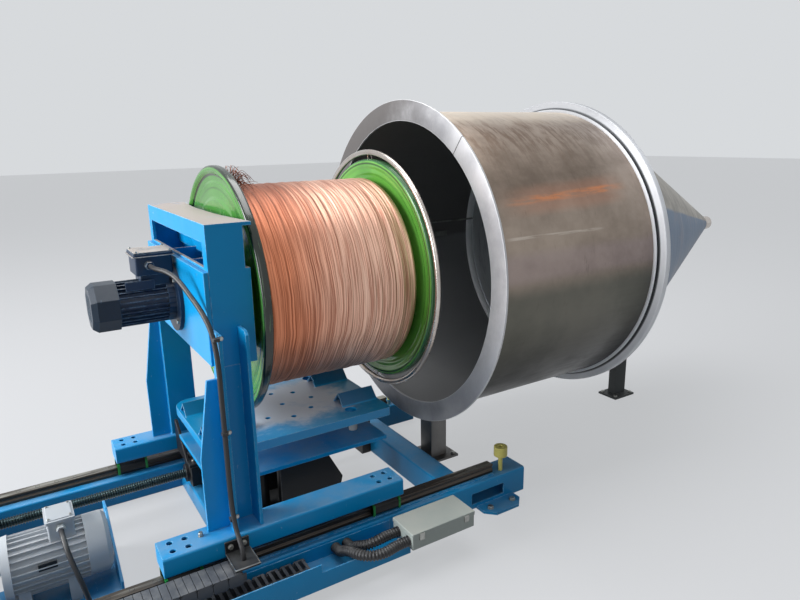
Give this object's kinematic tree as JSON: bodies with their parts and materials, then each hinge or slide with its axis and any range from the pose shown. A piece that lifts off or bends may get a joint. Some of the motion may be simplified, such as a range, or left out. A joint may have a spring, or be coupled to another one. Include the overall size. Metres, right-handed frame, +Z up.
{
  "type": "wire pay-off machine",
  "caption": "Floor-standing wire pay-off: rail carriage with cantilevered spindle and copper bobbin, lifting table, and a steel drum with outlet cone.",
  "frame": {"origin": "on the floor on the machine's centre line, at the bottom face of the drum's front leg", "axes": "+X along the machine from the drive to the wire outlet, +Y to the far side, +Z up"},
  "size_m": [3.556, 1.2284, 1.441],
  "materials": {
    "blue_paint": "gloss machine enamel",
    "guide_steel": "oiled ground steel",
    "black_steel": "black oxide and black paint",
    "motor_aluminium": "grey painted cast aluminium",
    "chain_plastic": "moulded nylon",
    "box_paint": "grey-green enamel",
    "black_rubber": "black sheath",
    "yellow_rubber": "polyurethane",
    "stainless": "mill finish stainless sheet",
    "polished_steel": "polished steel",
    "dark_paint": "dark grey paint",
    "ring_paint": "light grey paint",
    "motor_navy": "dark blue-grey paint",
    "motor_cowl_paint": "blue-grey paint",
    "green_paint": "gloss green enamel",
    "copper_wire": "bright drawn copper wire",
    "white_plastic": "moulded plastic"
  },
  "bodies": {
    "root": {"rail_beams": "blue_paint", "guide_rails": "guide_steel", "right_cross_beam": "blue_paint", "middle_cross_beam": "blue_paint", "left_cross_beam": "blue_paint", "lead_screw": "black_steel", "screw_bearings": "black_steel", "motor_base": "blue_paint", "drive_motor": "motor_aluminium", "drive_motor_cowl": "motor_aluminium", "drive_motor_cable": "black_rubber", "belt_guard": "blue_paint", "chain_tray": "blue_paint", "cable_chain": "chain_plastic", "junction_box": "box_paint", "near_conduit": "black_rubber", "far_conduit": "black_rubber", "end_stops": "yellow_rubber", "lift_base": "black_steel", "drum_mouth_flange": "stainless", "drum_shell": "stainless", "drum_rear_ring": "ring_paint", "outlet_cone": "stainless", "outlet_eyelet": "polished_steel", "drum_front_leg": "stainless", "drum_rear_leg": "dark_paint"},
    "carriage": {"side_beams": "blue_paint", "guide_blocks": "black_steel", "near_column": "blue_paint", "far_column": "blue_paint", "crosshead": "blue_paint", "motor_plate": "blue_paint", "spindle_housing": "black_steel", "spindle_motor": "motor_navy", "spindle_motor_cowl": "motor_cowl_paint", "nut_bracket": "black_steel", "screw_nut": "black_steel", "chain_bracket": "black_steel", "motor_cable": "black_rubber"},
    "bobbin": {"spindle": "polished_steel", "drive_plate": "black_steel", "bobbin_left_flange": "green_paint", "bobbin_right_flange": "green_paint", "bobbin_barrel": "green_paint", "copper_winding": "copper_wire", "wire_ring": "polished_steel"},
    "lift": {"lift_table": "blue_paint", "lift_deck": "blue_paint", "deck_buffers": "white_plastic", "lift_rods": "polished_steel"}
  },
  "joints": [
    {"name": "carriage_slide", "type": "slide", "parent": "root", "child": "carriage", "axis": [1, 0, 0], "range_m": [-0.045, 0.41]},
    {"name": "spindle_turn", "type": "hinge", "parent": "carriage", "child": "bobbin", "pos_m": [-0.8, 0, 0.835], "axis": [1, 0, 0], "continuous": true},
    {"name": "table_lift", "type": "slide", "parent": "root", "child": "lift", "axis": [0, 0, 1], "range_m": [-0.055, 0.015]}
  ]
}
